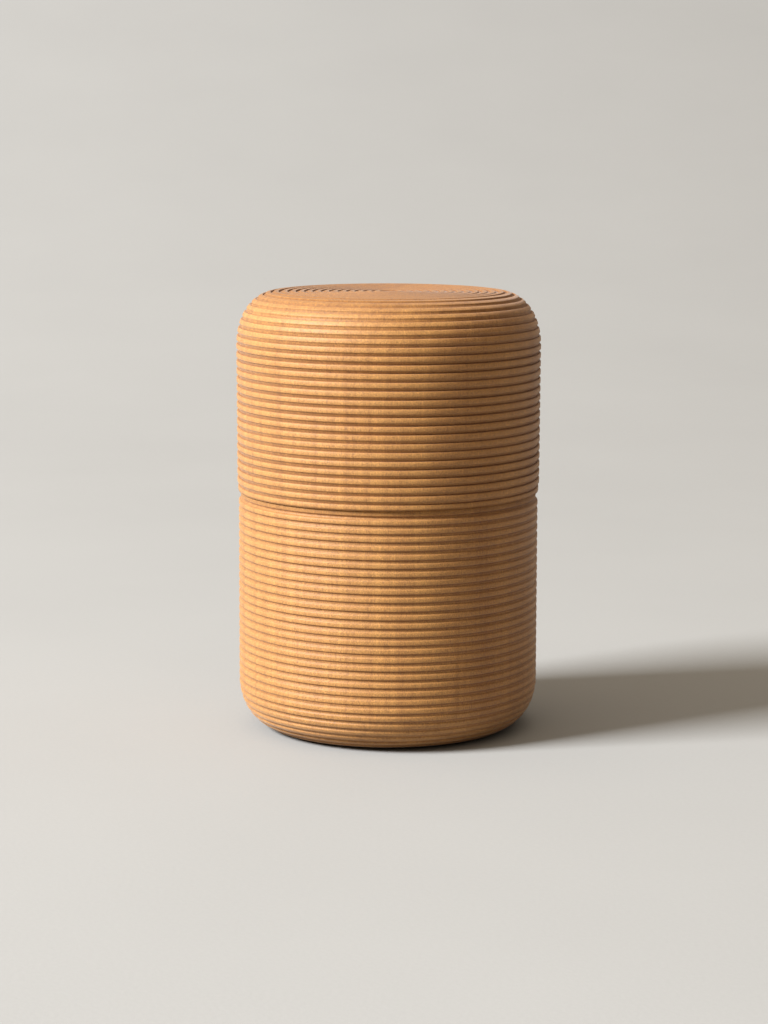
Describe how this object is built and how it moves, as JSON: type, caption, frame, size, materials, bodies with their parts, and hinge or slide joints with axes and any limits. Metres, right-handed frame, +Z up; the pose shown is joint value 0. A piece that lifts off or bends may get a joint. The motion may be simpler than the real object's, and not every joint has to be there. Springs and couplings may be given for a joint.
{
  "type": "tea caddy",
  "caption": "Turned wooden tea caddy: a ribbed round cup with a collar, a ribbed cap that slides over it, and a knobbed inner lid that keeps loose tea fresh.",
  "frame": {"origin": "centre of the base, on the surface that the caddy stands on", "axes": "+Z up along the turning axis, from the base to the top of the cap; X and Y are free, because the form is round"},
  "size_m": [0.078, 0.078, 0.1126],
  "materials": {
    "wood_body": "turned, ribbed, bare matte wood with the grain upright",
    "wood_outer_lid": "turned, ribbed, bare matte wood with the grain upright",
    "wood_inner_lid": "turned smooth, bare matte wood with end grain on the faces",
    "wood_knob": "turned smooth, bare matte wood"
  },
  "bodies": {
    "body": {"body": "wood_body"},
    "inner_lid": {"inner_lid": "wood_inner_lid", "inner_lid_knob": "wood_knob"},
    "outer_lid": {"outer_lid": "wood_outer_lid"}
  },
  "joints": [
    {"name": "inner_lid_lift", "type": "slide", "parent": "body", "child": "inner_lid", "axis": [0, 0, 1], "range_m": [0, 0.03]},
    {"name": "outer_lid_lift", "type": "slide", "parent": "inner_lid", "child": "outer_lid", "axis": [0, 0, 1], "range_m": [0, 0.06]}
  ]
}
